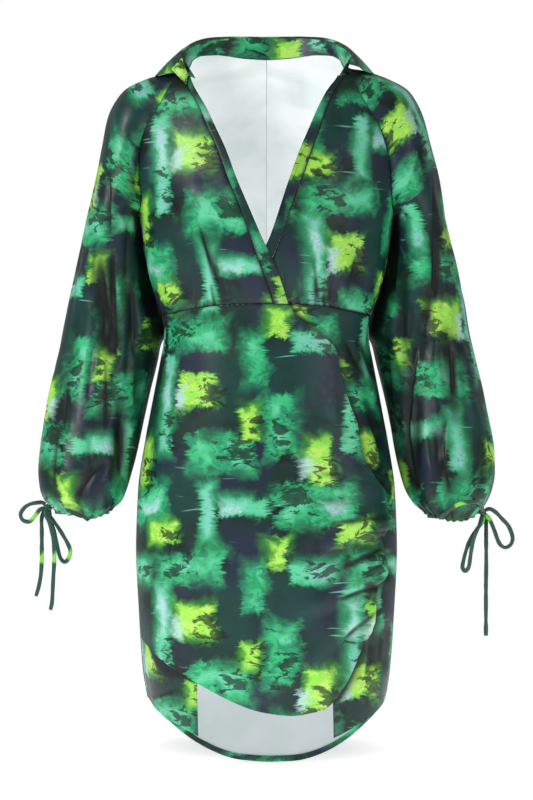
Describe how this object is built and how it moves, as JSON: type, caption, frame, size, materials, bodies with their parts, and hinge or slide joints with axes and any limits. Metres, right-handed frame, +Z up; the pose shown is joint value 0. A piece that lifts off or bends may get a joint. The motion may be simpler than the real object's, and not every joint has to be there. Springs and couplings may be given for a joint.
{
  "type": "bodycon wrap dress",
  "caption": "Collared wrap mini dress with a V neck, full drawstring sleeves, a waist seam, a ruched front skirt and a dipped hem, filled out as if worn.",
  "frame": {"origin": "middle of the neck opening, level with the neck seam at the front ends of the collar, where the wearer's neck and shoulders carry the dress", "axes": "+Z up, the front of the dress faces -Y, +X is to the right of someone who looks at the front"},
  "size_m": [0.631, 0.2378, 0.943],
  "materials": {
    "printed_cloth": "satin",
    "tie_cloth": "satin"
  },
  "bodies": {
    "root": {"bodice_over": "printed_cloth", "neck_band_over": "printed_cloth", "bodice_under": "printed_cloth", "neck_band_under": "printed_cloth", "bodice_back_left": "printed_cloth", "bodice_back_right": "printed_cloth", "sleeve_left": "printed_cloth", "sleeve_right": "printed_cloth", "cuff_casing_left": "printed_cloth", "cuff_casing_right": "printed_cloth", "skirt_under_left": "printed_cloth", "skirt_under_right": "printed_cloth", "skirt_over": "printed_cloth", "skirt_back": "printed_cloth", "hem_turning_back": "printed_cloth", "collar_stand": "printed_cloth", "collar_fall": "printed_cloth", "tie_knot_left": "tie_cloth", "tie_loop_outer_left": "tie_cloth", "tie_loop_inner_left": "tie_cloth", "tie_tail_front_left": "tie_cloth", "tie_tail_outer_left": "tie_cloth", "tie_knot_right": "tie_cloth", "tie_loop_outer_right": "tie_cloth", "tie_loop_inner_right": "tie_cloth", "tie_tail_front_right": "tie_cloth", "tie_tail_over_right": "tie_cloth"}
  },
  "joints": []
}
